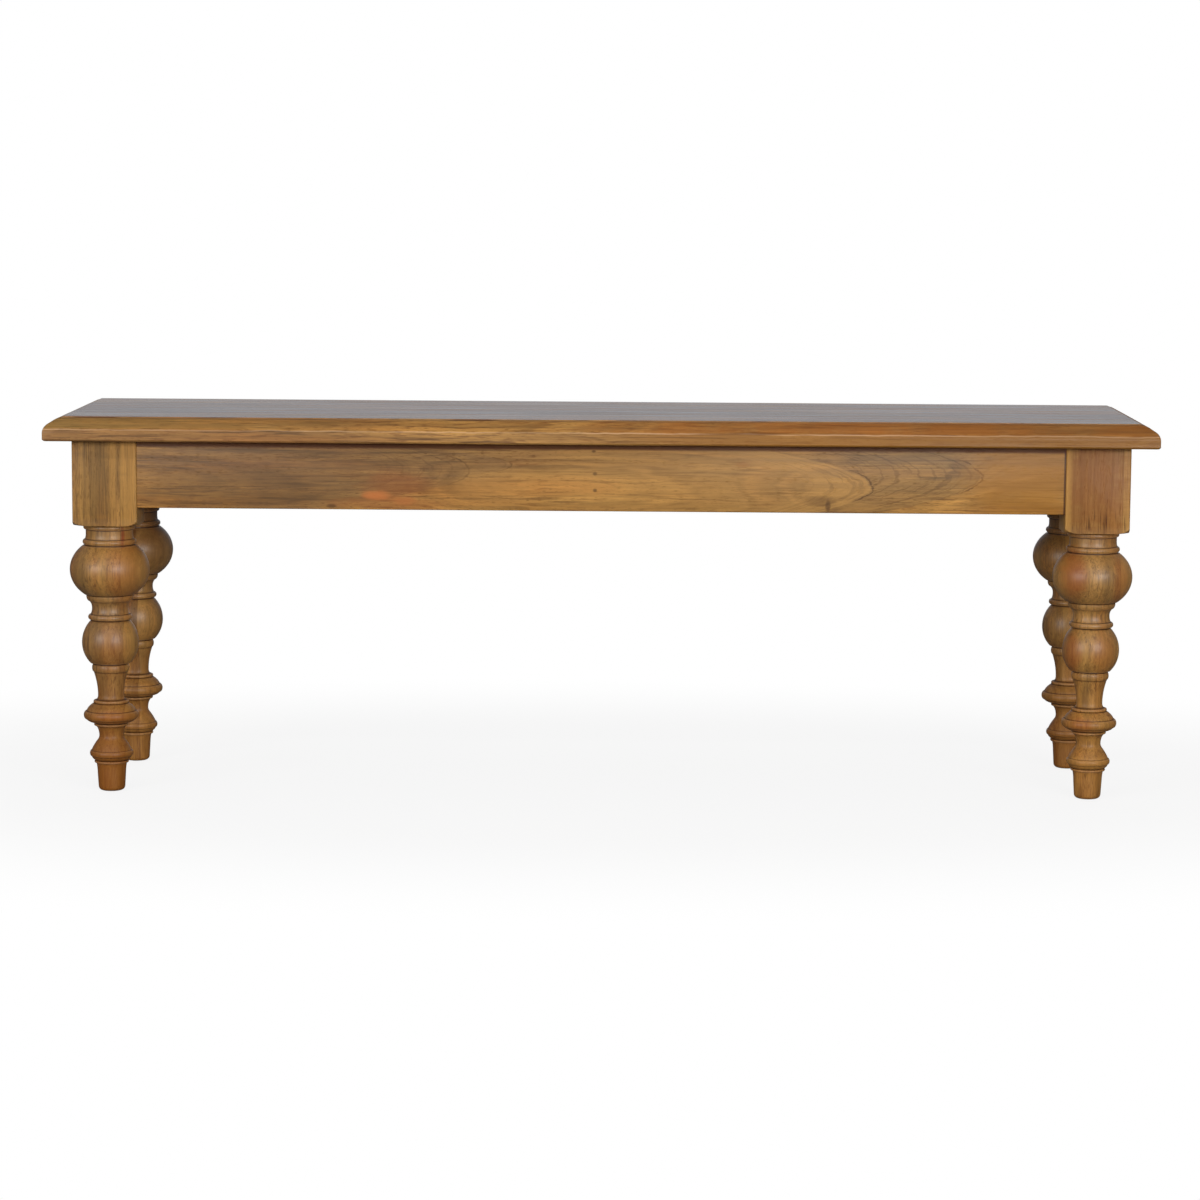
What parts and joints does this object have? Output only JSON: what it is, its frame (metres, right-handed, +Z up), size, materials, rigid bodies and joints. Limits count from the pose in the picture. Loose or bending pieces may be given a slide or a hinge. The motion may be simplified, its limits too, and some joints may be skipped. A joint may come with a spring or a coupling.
{
  "type": "dining bench",
  "caption": "Long narrow dining bench in solid wood: moulded seat of edge-glued boards on an apron frame with stout turned legs.",
  "frame": {"origin": "on the floor under the middle of the seat", "axes": "+X along the length of the bench, to the right seen from the front; -Y the front; +Z up"},
  "size_m": [1.3, 0.35, 0.45],
  "materials": {
    "seat_wood": "satin lacquer, honey brown",
    "leg_wood": "satin lacquer, honey brown",
    "apron_wood": "satin lacquer, honey brown",
    "raw_wood": "planed, unfinished",
    "steel_hardware": "zinc plated",
    "zinc_screws": "yellow zinc plated"
  },
  "bodies": {
    "root": {"seat_board_front": "seat_wood", "seat_board_front_middle": "seat_wood", "seat_board_rear_middle": "seat_wood", "seat_board_rear": "seat_wood", "leg_front_left": "leg_wood", "leg_front_right": "leg_wood", "leg_rear_left": "leg_wood", "leg_rear_right": "leg_wood", "apron_front": "apron_wood", "apron_rear": "apron_wood", "apron_left": "apron_wood", "apron_right": "apron_wood", "corner_brace_front_left": "raw_wood", "corner_brace_front_right": "raw_wood", "corner_brace_rear_left": "raw_wood", "corner_brace_rear_right": "raw_wood", "seat_cleat_front_left": "raw_wood", "seat_cleat_front_right": "raw_wood", "seat_cleat_rear_left": "raw_wood", "seat_cleat_rear_right": "raw_wood", "centre_rail": "raw_wood", "hanger_bolts": "steel_hardware", "bolt_washers": "steel_hardware", "bolt_nuts": "steel_hardware", "brace_screws": "zinc_screws", "cleat_screws": "zinc_screws", "seat_screws": "zinc_screws"}
  },
  "joints": []
}
